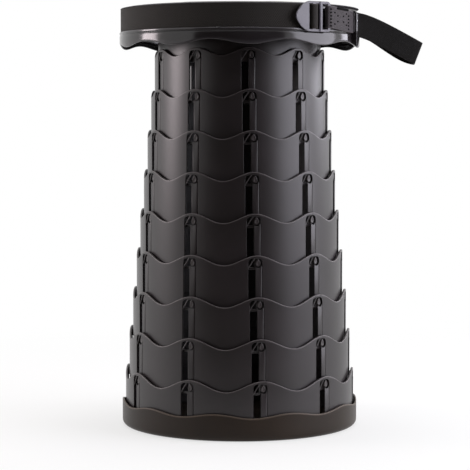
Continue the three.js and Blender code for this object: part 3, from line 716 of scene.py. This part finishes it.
def grip_half():
    """Columns go round the hole; rows run up the hole, across the top, over the edge and back."""
    arc = np.radians(np.linspace(-90, 90, 61))
    line = np.linspace(1, -1, 33)[1:-1]
    edge = np.concatenate([np.stack([np.cos(arc), np.sin(arc)], 1), np.stack([0 * line, line], 1)])
    angle = np.arctan2(edge[:, 1] * PLATE, edge[:, 0] * PLATE - HOLE_PLACE)
    ring = np.stack([np.cos(angle), np.sin(angle)], 1)
    centre = np.array([HOLE_PLACE, 0.0])
    rows = [(centre + radius * ring, height) for radius, height in COLLAR]
    start, end = rows[-1][0], edge * (PLATE - 0.6)
    rows += [(start + (end - start) * share, PLATE_TOP) for share in np.linspace(0, 1, 9)[1:]]
    top = len(rows) - 1
    rows += [(edge * (PLATE - inset), height) for inset, height in PLATE_EDGE]
    bottom = len(rows) - 1
    start, end = rows[-1][0], rows[0][0]
    rows += [(start + (end - start) * share, PLATE_UNDER) for share in (0.3, 0.65)]
    points = np.array([np.column_stack([plan, np.full(len(plan), height)]) for plan, height in rows])
    keep = np.ones(points.shape[:2], bool)
    keep[top:bottom, len(arc) - 1:] = False
    return points.reshape(-1, 3), quads(*keep.shape, True, True, keep)


half_points, half_faces = grip_half()
turned = half_points * np.array([-1, -1, 1])
tilt = radians(HOLES_TURN)
sine, cosine = sin(tilt), cos(tilt)
spin = np.array([[cosine, sine, 0], [-sine, cosine, 0], [0, 0, 1]])
shell = join((half_points @ spin, half_faces), (turned @ spin, half_faces))
piece("grip_plate_moulding", shell, "seat", ["grip_plate"], grip_plastic, sharp=40)

# %% [markdown]
# ## The skirt and its keepers
# The glossy skirt has a thin wall behind the webbing and a shoulder under it, with a lip, and
# a groove below. Its lower edge has ten lobes. Two keepers stand out of it beside the carry
# loop: fins with a slot for the webbing, a nib halfway up the post and a gusset under it,
# which ends in a thin edge. A fin is its outline carried across 3 mm.

# %% Skirt
SKIRT, SKIRT_TOP, LIP_TOP = 129.25, 421.6, 422.8
# The lobed lower edge's rounding and the lip's corner take some of the paler colour: painted
# highlight, with some wear.
skirt_profile = [
    (127.8, 411.6, 1), *corner(128.5, 411.75, 0.75, 180, 360, share=1, highlight_and_wear=0.35, steps=6),
    (SKIRT, 413.6, 0.6), (SKIRT, 416.4, 0.25), (SKIRT, 418.5), (129.1, 418.9), (128.6, 419.3),
    (128.45, 419.6), (128.6, 419.9), (129.1, 420.2), (SKIRT, 420.6),
    *corner(SKIRT - 0.6, LIP_TOP - 0.6, 0.6, 0, 90, highlight_and_wear=0.5, steps=4), (128.3, LIP_TOP),
    (128.15, LIP_TOP - 0.2), (128.1, SKIRT_TOP + 0.2), (127.9, SKIRT_TOP), (126.7, SKIRT_TOP),
    (126.3, SKIRT_TOP + 0.4), (126.3, 434), (126.3, 446.8), (126, 447.1), (125.3, 447.1),
    (125, 446.8), (125, 434), (125, 420.3), (125.3, 420), (127.5, 420), (127.8, 419.6),
    (127.8, 416, 0.35),
]
skirt = lathe(skirt_profile, 360, 5.2, radians(4.7) + PITCH / 2)

# %% Keepers
HANDLE_TURN = radians(97)
KEEPERS = {"front": radians(66), "rear": radians(110)}
GUSSET_RAISED = {"front": 0.0, "rear": 6.5}
STRAP_RADIUS = 127.3
FIN_HALF = 1.5
POST, POST_FACET, KNIFE = 135.2, 0.4, 1.7


def rounded(outline, reach):
    """Each corner becomes a short curve that begins and ends at most this far from it."""
    cuts = []
    for side in (np.roll(outline, 1, 0) - outline, np.roll(outline, -1, 0) - outline):
        length = np.linalg.norm(side, axis=1)[:, None]
        cuts.append((side / length * np.minimum(reach, 0.4 * length))[:, None])
    t = np.array([0, 0.33, 0.67, 1])[None, :, None]
    return (outline[:, None] + (1 - t)**2 * cuts[0] + t**2 * cuts[1]).reshape(-1, 2)


def inset(outline, amount):
    """The outline moved inwards, square to the line between each point's neighbours."""
    run = np.roll(outline, -1, 0) - np.roll(outline, 1, 0)
    square = np.stack([-run[:, 1], run[:, 0]], 1)
    return outline + amount * square / np.linalg.norm(run, axis=1)[:, None]


def keeper(azimuth, raised):
    """The outline in (outwards, up) is carried across and capped. In front the post's outer side
    is cut back to a facet, except at the nib, and at the back the gusset's to a thin edge."""
    outline = np.array([
        (128.55, 410.1 + 0.5 * raised), (POST, 405.4 + raised),
        *[(POST, z) for z in (421.4, 422, 431.4, 431.8, 433.4, 433.8, 440.4)],
        (132.6, 443.6), (128.6, 444.6), (128.6, 443.4), (133, 442.3), (133.5, 436.5), (132.6, 435.5),
        (132.6, 433.5), (133.5, 432.5), (133.5, 421.6), (128.55, 421.6),
    ])
    facet, knife = outline.copy(), outline.copy()
    facet[[3, 4, 7, 8], 0] -= POST_FACET
    knife[[1, 2], 0] -= KNIFE
    front, back = rounded(facet, 0.6), rounded(knife, 0.6)
    along = np.array([cos(azimuth), sin(azimuth), 0])
    rings = [around(*flat.T[:1], azimuth, flat[:, 1]) + side * along
             for flat, side in ((inset(front, 0.2), -FIN_HALF), (front, -FIN_HALF + 0.25),
                                (back, FIN_HALF - 0.3), (inset(back, 0.3), FIN_HALF))]
    count = len(front)
    cap = list(range(count))
    faces = [*quads(4, count, False, True).tolist(), cap, [k + 3 * count for k in reversed(cap)]]
    return np.concatenate(rings), faces, np.zeros(4 * count)


# %% Skirt and keepers as pieces
piece("seat_skirt_moulding", skirt, "seat", ["seat_skirt"], skirt_plastic)
for name, azimuth in KEEPERS.items():
    fin, name = keeper(azimuth, GUSSET_RAISED[name]), f"webbing_keeper_{name}"
    piece(name, fin, "seat", ["seat_skirt"], skirt_plastic, sharp=35)

# %% [markdown]
# ## Webbing
# The webbing is one length of 25 mm band on the real stool. It could be simulated, but it is
# stretched or stiff enough to hold its form, so it is carried along a drawn path: a rounded
# flat section, square to the path. The path's corners are cut three times, which turns any
# polygon into a smooth curve, and it is then divided evenly.

# %% Band along a path
THICK, WIDE = 1.4, 25.0
STRAP_MIDDLE = 434.5


def even(path, step, rounds=3):
    """Corners cut at a quarter and three quarters of each side, then equal steps along."""
    for _ in range(rounds):
        inner = np.stack([0.75 * path[:-1] + 0.25 * path[1:], 0.25 * path[:-1] + 0.75 * path[1:]], 1)
        path = np.concatenate([path[:1], inner.reshape(-1, 2), path[-1:]])
    run = np.concatenate([[0], np.cumsum(np.linalg.norm(np.diff(path, axis=0), axis=1))])
    at = np.linspace(0, run[-1], max(int(run[-1] / step), 8) + 1)
    return np.stack([np.interp(at, run, path[:, k]) for k in (0, 1)], 1), at


def heading(path):
    """The unit direction at each point of a path."""
    ahead = np.gradient(path, axis=0)
    return ahead / np.linalg.norm(ahead, axis=1)[:, None]


def band(name, node, finish, path, step, place):
    """Rows are path points, columns the section; the end rows are drawn in to a line."""
    path, run = even(path, step)
    ahead = heading(path)
    normal = np.stack([ahead[:, 1], -ahead[:, 0]], 1)
    half = WIDE / 2
    face = np.linspace(-half + 0.5, half - 0.5, 15)
    edge = np.array([half - 0.12, half, half - 0.12])
    across = np.concatenate([face, edge, face[::-1], -edge])
    side = np.concatenate([np.ones(15), [0.7, 0, -0.7], -np.ones(15), [-0.7, 0, 0.7]]) * THICK / 2
    path, normal, run = [np.concatenate([v[:1], v, v[-1:]]) for v in (path, normal, run)]
    shrink = np.ones(len(path))
    shrink[[0, -1]] = 0
    plan = path[:, None] + normal[:, None] * (side[None] * shrink[:, None])[..., None]
    points = place(plan, np.broadcast_to(across, plan.shape[:2]))
    uv = np.stack(np.broadcast_arrays(run[:, None], across[None]), -1)
    shell = points, quads(len(path), len(across), False, True)
    piece(name, shell, "seat", [node], finish, uv=uv)


def lift(plan, height):
    """Places in plan, raised to their heights."""
    return np.concatenate([plan, height[..., None]], -1)


def upright(plan, width):
    """Round the rim the band stands on its edge."""
    return lift(plan, STRAP_MIDDLE + width)


def flat_place(azimuth, along, outwards):
    """A place in plan, given in the straight frame of the piece at an azimuth."""
    along, outwards = np.asarray(along, float), np.asarray(outwards, float)
    sine, cosine = sin(azimuth), cos(azimuth)
    return np.stack([outwards * sine + along * cosine, -outwards * cosine + along * sine], -1)


def arc_path(radius, start, end):
    """Points every degree and a half on a circle, both ends included."""
    steps = max(int(abs(end - start) / radians(1.5)), 2)
    return around(radius, np.linspace(start, end, steps + 1), 0.0)[:, :2]


# %% [markdown]
# ## The strap round the rim
# From the rear keeper the strap lies against the skirt's wall all the way round to the buckle,
# where it goes behind the tab, over the middle bar and back behind the frame.

# %% Rim strap
BUCKLE_TURN = radians(35)
TAB, TAB_END, BAR, SLOT_START, SLOT_END, FRAME_END = 16.5, 6.25, 2.25, 10.75, 17.25, 21.25
BACK, FRONT = 130.95, 133.15
WRAP = THICK / 2 + 0.65
OVER = FRONT + WRAP
BEHIND = STRAP_RADIUS + THICK
STRAP_START = KEEPERS["rear"] - FIN_HALF / STRAP_RADIUS
leave = BUCKLE_TURN + 2 * pi + asin((-BAR - TAB) / STRAP_RADIUS)
weaving = [
    (-TAB_END, BEHIND), (-BAR - WRAP, BACK), (-BAR - WRAP, FRONT), (-BAR, OVER), (BAR, OVER),
    (BAR + WRAP, FRONT), (BAR + WRAP, BACK), (TAB_END, BEHIND),
    (SLOT_START, STRAP_RADIUS + THICK / 2),
]
rim_path = np.concatenate([
    arc_path(STRAP_RADIUS, STRAP_START, leave), flat_place(BUCKLE_TURN, *np.transpose(weaving)),
])
band("rim_webbing", "rim_strap", webbing, rim_path, 1.1, upright)

# %% [markdown]
# ## The sewn end
# From the front keeper's slot the webbing follows the skirt's circle back to the buckle, goes
# round its last bar and is sewn down on itself; the face so made is straight and ends before
# the keeper. The seam draws the band in, and the loop's weight pulls it down.

# %% Sewn end
LIFT_ANGLE = acos(STRAP_RADIUS / (STRAP_RADIUS + 3.6))
LIFT_TURN = KEEPERS["front"] - LIFT_ANGLE
LIFT_RUN = STRAP_RADIUS * tan(LIFT_ANGLE)
MEET = BUCKLE_TURN + asin((FRAME_END + 9) / STRAP_RADIUS)
LAP = 1.6
FACE_START = 16.2
SEWN_START = BUCKLE_TURN + atan(FACE_START / FRONT)
SEWN_SAG, SEWN_DRAWN = 2.8, 0.92
TURN_IN = SLOT_END - WRAP
sewn_face = np.concatenate([
    flat_place(BUCKLE_TURN, [FACE_START, FRAME_END], [OVER] * 2),
    flat_place(LIFT_TURN, [LIFT_RUN - 12, LIFT_RUN - 4.5], [STRAP_RADIUS + LAP] * 2),
])
anchor_path = np.concatenate([
    flat_place(LIFT_TURN, [LIFT_RUN + FIN_HALF], [STRAP_RADIUS]),
    arc_path(STRAP_RADIUS, LIFT_TURN, MEET),
    flat_place(BUCKLE_TURN, [FRAME_END, SLOT_END, TURN_IN, TURN_IN, TURN_IN],
               [BACK - WRAP - THICK, BACK - WRAP, BACK, FRONT, FRONT + WRAP * 0.75]),
    sewn_face,
])


def smooth(share):
    """A smooth step: level at 0 and at 1."""
    return share * share * (3 - 2 * share)


def sagging(plan, width):
    """The band is narrower by the seam, and lower by a smooth step towards the keeper."""
    turn = np.arctan2(plan[..., 0], -plan[..., 1])
    share = np.clip((turn - SEWN_START) / (KEEPERS["front"] - SEWN_START), 0, 1)
    return lift(plan, STRAP_MIDDLE + width * SEWN_DRAWN - SEWN_SAG * smooth(share))


band("sewn_webbing", "strap_anchor", sewn_webbing, anchor_path, 0.7, sagging)

# %% [markdown]
# ## The carry loop
# The loop runs straight on out of the front keeper, turns round its end and comes back to the
# rear keeper. It droops under its own weight: the rear strand by a smooth step of its distance
# from the rim, the front one, which leaves the rim sooner, evenly. The band tips outwards as it
# falls, and round the end one strand's fall passes into the other's.

# %% Carry loop
REACH, DROOP, DROOP_SHARE, END_RADIUS = 66.5, 33.0, 0.91, 12.0
ROOT_HALF, BEND, RIM = 22.0, 4.5, 129.3
FRONT_RUN, FRONT_EASE, FRONT_SAG, SAG_EASE = 3.0, 16.0, 5.2, 1.5
EXIT = LIFT_RUN + FIN_HALF + 0.3


def spline(points, per_span):
    """A Catmull-Rom curve: each span is a cubic whose ends lean along their neighbours."""
    p = np.concatenate([points[:1], points, points[-1:]])
    t = np.linspace(0, 1, per_span, endpoint=False)[None, :, None]
    a, b, c, d = [p[k:len(p) - 3 + k][:, None] for k in range(4)]
    v, w = (c - a) / 2, (d - b) / 2
    cubic = (2 * b - 2 * c + v + w) * t**3 + (-3 * b + 3 * c - 2 * v - w) * t**2 + v * t + b
    return np.concatenate([cubic.reshape(-1, 2), points[-1:]])


def front_strand(run):
    """The straight run through the front keeper, seen along the loop."""
    return flat_place(LIFT_TURN - HANDLE_TURN, run, STRAP_RADIUS) * [1, -1]


def loop_path():
    """In plan, seen along the loop: the front strand, round the end and back on the right."""
    spread = asin((ROOT_HALF + BEND) / STRAP_RADIUS)
    leave = STRAP_RADIUS * np.array([sin(spread), cos(spread)])
    end = RIM + REACH - END_RADIUS
    angle = np.radians(np.linspace(140, 0, 7))
    tip = np.stack([END_RADIUS * np.cos(angle), end + END_RADIUS * np.sin(angle)], 1)
    bend = front_strand(EXIT + FRONT_RUN)
    knots = np.array([
        bend, (bend + tip[0]) / 2, *tip, ((ROOT_HALF + END_RADIUS) / 2, (leave[1] + end) / 2),
        (ROOT_HALF - BEND * 0.4, leave[1] + BEND * 2), leave + BEND * np.array([-0.8, 0.6]),
    ])
    root = KEEPERS["rear"] - (FIN_HALF + 0.3) / STRAP_RADIUS - HANDLE_TURN
    last = STRAP_RADIUS * np.array([[sin(root), cos(root)]])
    return np.concatenate([front_strand(EXIT)[None], spline(knots, 12), last])


def drooping(plan, width):
    """Fall and slope of each strand at its distance, mixed by the place along the rim."""
    along, outwards = plan[..., 0], plan[..., 1]
    share = np.clip((outwards - RIM) / REACH, 0, 1) * DROOP_SHARE
    scale = DROOP / smooth(DROOP_SHARE)
    rear = np.stack([scale * smooth(share), scale * 6 * share * (1 - share) * DROOP_SHARE / REACH])
    root = front_strand(EXIT)[1]
    run = np.maximum(outwards - root, 0)
    bent = 1 - np.exp(-run / FRONT_EASE)
    slope = (DROOP - FRONT_SAG) / (RIM + REACH - root - FRONT_EASE)
    sag = FRONT_SAG - (FRONT_SAG - SEWN_SAG) * np.exp(-run / SAG_EASE)
    front = np.stack([sag + slope * (run - FRONT_EASE * bent), slope * bent])
    mix = smooth(np.clip((along / END_RADIUS + 1) / 2, 0, 1))
    fall, slope = front * (1 - mix) + rear * mix
    lean = np.arctan(slope)
    x, y = np.moveaxis(flat_place(HANDLE_TURN, along, outwards + width * np.sin(lean)), -1, 0)
    return np.stack([x, y, STRAP_MIDDLE + width * np.cos(lean) - fall], -1)


# The loop wears the darker copy of the webbing: painted shade.
band("carry_loop", "handle_loop", painted_shade_webbing, loop_path(), 1.1, drooping)

# %% [markdown]
# ## Stitching
# The sewn end is held by two columns of stitches, a close row along its top and a cross. A
# stitch is a small bead of thread that dips into the cloth at both ends: here a stretched
# octagon in five rows.

# %% Stitches
STITCH, STITCH_HALF, STITCH_STEP, ROW_STEP = 1.5, 0.85, 3.4, 1.7
ROW_START, ROW_HEIGHT, ROW_SLOPE = 17, 444.0, 0.03
CROSS, CROSS_HEIGHT, CROSS_STEP, CROSS_RISE = 24.3, 433.4, 6.7, 2.9


def stitch_places(length):
    """(distance along the face, height, girth) of the columns, the row on top and the cross."""
    ends = ((3.6, 442.4, 6), (length - 9, 437.2, 5))
    columns = [(at, high - STITCH_STEP * k, 1) for at, high, count in ends for k in range(count)]
    row = [(at, ROW_HEIGHT - ROW_SLOPE * (at - ROW_START), 1.5)
           for at in np.arange(ROW_START, length - 10, ROW_STEP)]
    cross = [(CROSS + side * CROSS_STEP * k, CROSS_HEIGHT + rise * CROSS_RISE * k, 1)
             for side in (-1, 1) for rise in (-1, 1) for k in (1, 2)]
    return columns + row + cross


def stitches():
    """Each bead is a run of octagons, placed on the sewn face by its distance along it."""
    face, run = even(sewn_face, 0.5)
    ahead = heading(face)
    reach = STITCH * np.array([-1, -0.8, 0, 0.8, 1])[:, None]
    turn = np.linspace(0, 2 * pi, 8, endpoint=False)[None]
    ends = np.array([[0, 1, 2, 3], [0, 3, 4, 7], [4, 5, 6, 7]])
    faces = np.concatenate([quads(5, 8, False, True), ends, ends + 4 * 8])
    shells = []
    for at, height, size in stitch_places(run[-1]):
        girth = STITCH_HALF * size * np.array([0.02, 0.8, 1, 0.8, 0.02])[:, None]
        s = at + reach + 0 * turn
        out = THICK / 2 + 0.45 * np.sin(turn) * girth / size + 0.1
        x, y = [np.interp(s, run, face[:, c]) for c in (0, 1)]
        dx, dy = [np.interp(s, run, ahead[:, c]) for c in (0, 1)]
        z = height + np.cos(turn) * girth
        shells.append((np.stack([x + dy * out, y - dx * out, z], -1), faces))
    return shells


box_stitch = stitches()
piece("box_stitching", join(*box_stitch), "seat", [], thread)
print("stitches:", len(box_stitch))

# %% [markdown]
# ## The ladder buckle
# A flat frame with a rounded tab, three bars and two rails. It is a grid whose rows spread
# with the tab's outline; the cells in the slots are left out, and the rim between the front
# and the back is closed wherever a kept cell has no neighbour.

# %% Buckle
BUCKLE_HALF, BUCKLE_CORNER, RAIL = 15.5, 3.5, 12.9


def plate(front, back, keep):
    """Two sheets of the same grid, joined by a rim at every edge between kept and left out."""
    rows, columns = front.shape[:2]
    size = rows * columns
    face = quads(rows, columns, keep=keep)
    faces = [face, face[:, ::-1] + size]
    number = np.arange(size).reshape(rows, columns)
    padded = np.pad(keep, 1)
    i, j = np.nonzero(padded[1:, 1:-1] != padded[:-1, 1:-1])
    k, l = np.nonzero(padded[1:-1, 1:] != padded[1:-1, :-1])
    for a, b in ((number[i, j], number[i, j + 1]), (number[k, l], number[k + 1, l])):
        faces.append(np.stack([a, b, b + size, a + size], 1))
    return np.concatenate([front.reshape(-1, 3), back.reshape(-1, 3)]), np.concatenate(faces)


def buckle():
    """Columns lie along the webbing; rows reach up to the outline, an ellipse on the tab."""
    tab = -TAB_END - TAB * np.sin(np.radians(np.linspace(88, 0, 15)))
    u = np.concatenate([tab, [-4.5, -BAR, -0.75, 0.75, BAR, 4.25, TAB_END, 7.6, 9.2, SLOT_START, 14,
                              SLOT_END, 18.3, 19.2, 20.2, FRAME_END]])
    away = np.clip(-(u + TAB_END) / TAB, 0, 1)
    corner_off = BUCKLE_CORNER * np.clip((u - SLOT_END) / 4, 0, 1) ** 2.5
    half = BUCKLE_HALF * np.clip(1 - away**1.45, 0.001, 1) ** 0.62 - corner_off
    rail = np.linspace(-RAIL, RAIL, 9) / BUCKLE_HALF
    rows = np.concatenate([[-1, -0.95], rail, [0.95, 1]])[:, None]
    z = STRAP_MIDDLE + rows * half[None]
    crown = 0.35 * (1 - rows**2) + 0.6 * ((u > 7) & (u < 10))
    thin = 0.7 * away[None]
    sheets = [lift(flat_place(BUCKLE_TURN, u + 0 * z, out), z)
              for out in (FRONT + crown - 0.35 - thin, BACK + 0 * crown + 0.3 * thin)]
    keep = np.ones((len(rows) - 1, len(u) - 1), bool)
    between = (u[:-1] + u[1:]) / 2
    for start, end in ((-TAB_END, -BAR), (BAR, TAB_END), (SLOT_START, SLOT_END)):
        keep[2:-2, (between > start) & (between < end)] = False
    points, faces = plate(*sheets, keep)
    # The whole buckle takes a tenth of the paler colour evenly: its own lighter tone, not a
    # highlight.
    return points, faces, np.full(len(points), 0.1)


piece("ladder_buckle", buckle(), "seat", ["buckle"], buckle_plastic, bevel=0.4)

# %% Screws keep their CAD mesh
for k in range(SCREWS):
    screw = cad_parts[f"neck_screw_{k + 1}"]
    screw.data.materials.clear()
    screw.data.materials.append(screw_steel)

# %% [markdown]
# ## Floor and light
# The stool stands on a pale floor. In the photograph two soft boxes stand beside it, a little
# behind its own plane, so that its sides shine and its front stays dark. Here a small one
# behind it and one above help them, and dark cards behind the camera and on the floor keep
# the front dark. The world is white to the camera and to reflections, and dim as a source of
# light.

# %% Floor
def seen_rays(tree):
    """1 for what the camera sees, straight or in a reflection, and 0 for the light it casts."""
    ray = add(tree, "LightPath").outputs
    seen = add(tree, "Math", {0: ray["Is Camera Ray"], 1: ray["Is Glossy Ray"]}, operation="MAXIMUM")
    return add(tree, "Math", {0: seen, 1: ray["Is Transmission Ray"]}, operation="MAXIMUM")


def sheet(name, low, high, finish):
    """A plain card of the studio between two opposite corners, in metres."""
    (x, y, z), (far_x, far_y, far_z) = low, high
    mesh = bpy.data.meshes.new(name)
    mesh.from_pydata([low, (far_x, y, z), high, (x, far_y, far_z)], [], [(0, 1, 2, 3)])
    mesh.materials.append(finish)
    made = new_object(name, mesh)
    return made


floor_finish, tree, shader = blank("pale_paper_floor")
place = add(tree, "TexCoord").outputs["Object"]
fibres = add(tree, "TexNoise", {"Vector": place, "Scale": 300, "Detail": 2})
paper = add(tree, "Mix", {0: fibres, 6: "#f2f1ee", 7: "#f6f5f3"}, data_type="RGBA")
fill(shader, {"Base Color": paper, "Roughness": 0.9})
# Seen straight, the paper fades into the white backdrop away from the stool and keeps its
# shadow near it.
away = add(tree, "VectorMath", {0: place}, operation="LENGTH")
fade = add(tree, "MapRange", {"Value": away, "From Min": 0.15, "From Max": 0.9, "To Min": 0.66})
share = add(tree, "Math", {0: fade, 1: seen_rays(tree)}, operation="MULTIPLY")
white = add(tree, "Emission", {"Color": "#ffffff", "Strength": 1})
blend = add(tree, "MixShader", {0: share, 1: shader, 2: white})
fill(tree.nodes["Material Output"], {"Surface": blend})
sheet("floor", (-9, -9, -0.0005), (9, 9, -0.0005), floor_finish)

# %% Dark cards
card_finish, tree, shader = blank("black_card")
fill(shader, {"Base Color": "#383029", "Roughness": 0.95})
card = sheet("front_card", (-2.2, -2.4, 0.0), (2.2, -2.4, 2.2), card_finish)
low_card = sheet("floor_card", (-2.2, -2.4, 0.0), (2.2, -0.33, 0.0), card_finish)
card.visible_camera = low_card.visible_camera = False
low_card.visible_shadow = False  # the floor under it stays lit

# %% Lamps and world
LAMPS = [  # name, place, aim, size and power, colour
    ("left_box", (-1.5, 0.04, 0.55), (0, 0, 0.35), (0.5, 0.5), 8.6, "#fff1f5"),
    ("right_box", (1.55, -0.42, 0.75), (0, 0, 0.25), (1.5, 1.3), 28.5, "#f4f2ff"),
    ("rear_box", (1.33, 0.83, 0.55), (0, 0, 0.35), (0.65, 0.4), 4.8, "#f4f2ff"),
    ("top_box", (0, 0.2, 2.2), (0, 0, 0.2), (1.1, 1.1), 26, "#ffffff"),
]
for name, place, aim, size, power, colour in LAMPS:
    lamp = bpy.data.lights.new(name, "AREA")
    lamp.shape, lamp.size, lamp.size_y = "RECTANGLE", *size
    lamp.energy, lamp.color = power, linear(colour)[:3]
    made = new_object(name, lamp)
    made.location = place
    x, y, z = np.array(aim) - np.array(place)
    made.rotation_euler = (acos(-z / hypot(x, y, z)), 0, atan2(y, x) - pi / 2)

world = bpy.data.worlds.new("studio")
bpy.context.scene.world = world
world.use_nodes = True
tree = world.node_tree
sky = add(tree, "Mix", {0: seen_rays(tree), 6: "#8a8a8c", 7: "#ffffff"}, data_type="RGBA")
fill(tree.nodes["Background"], {"Color": sky, "Strength": 1})
bpy.context.scene.view_settings.view_transform = "Standard"
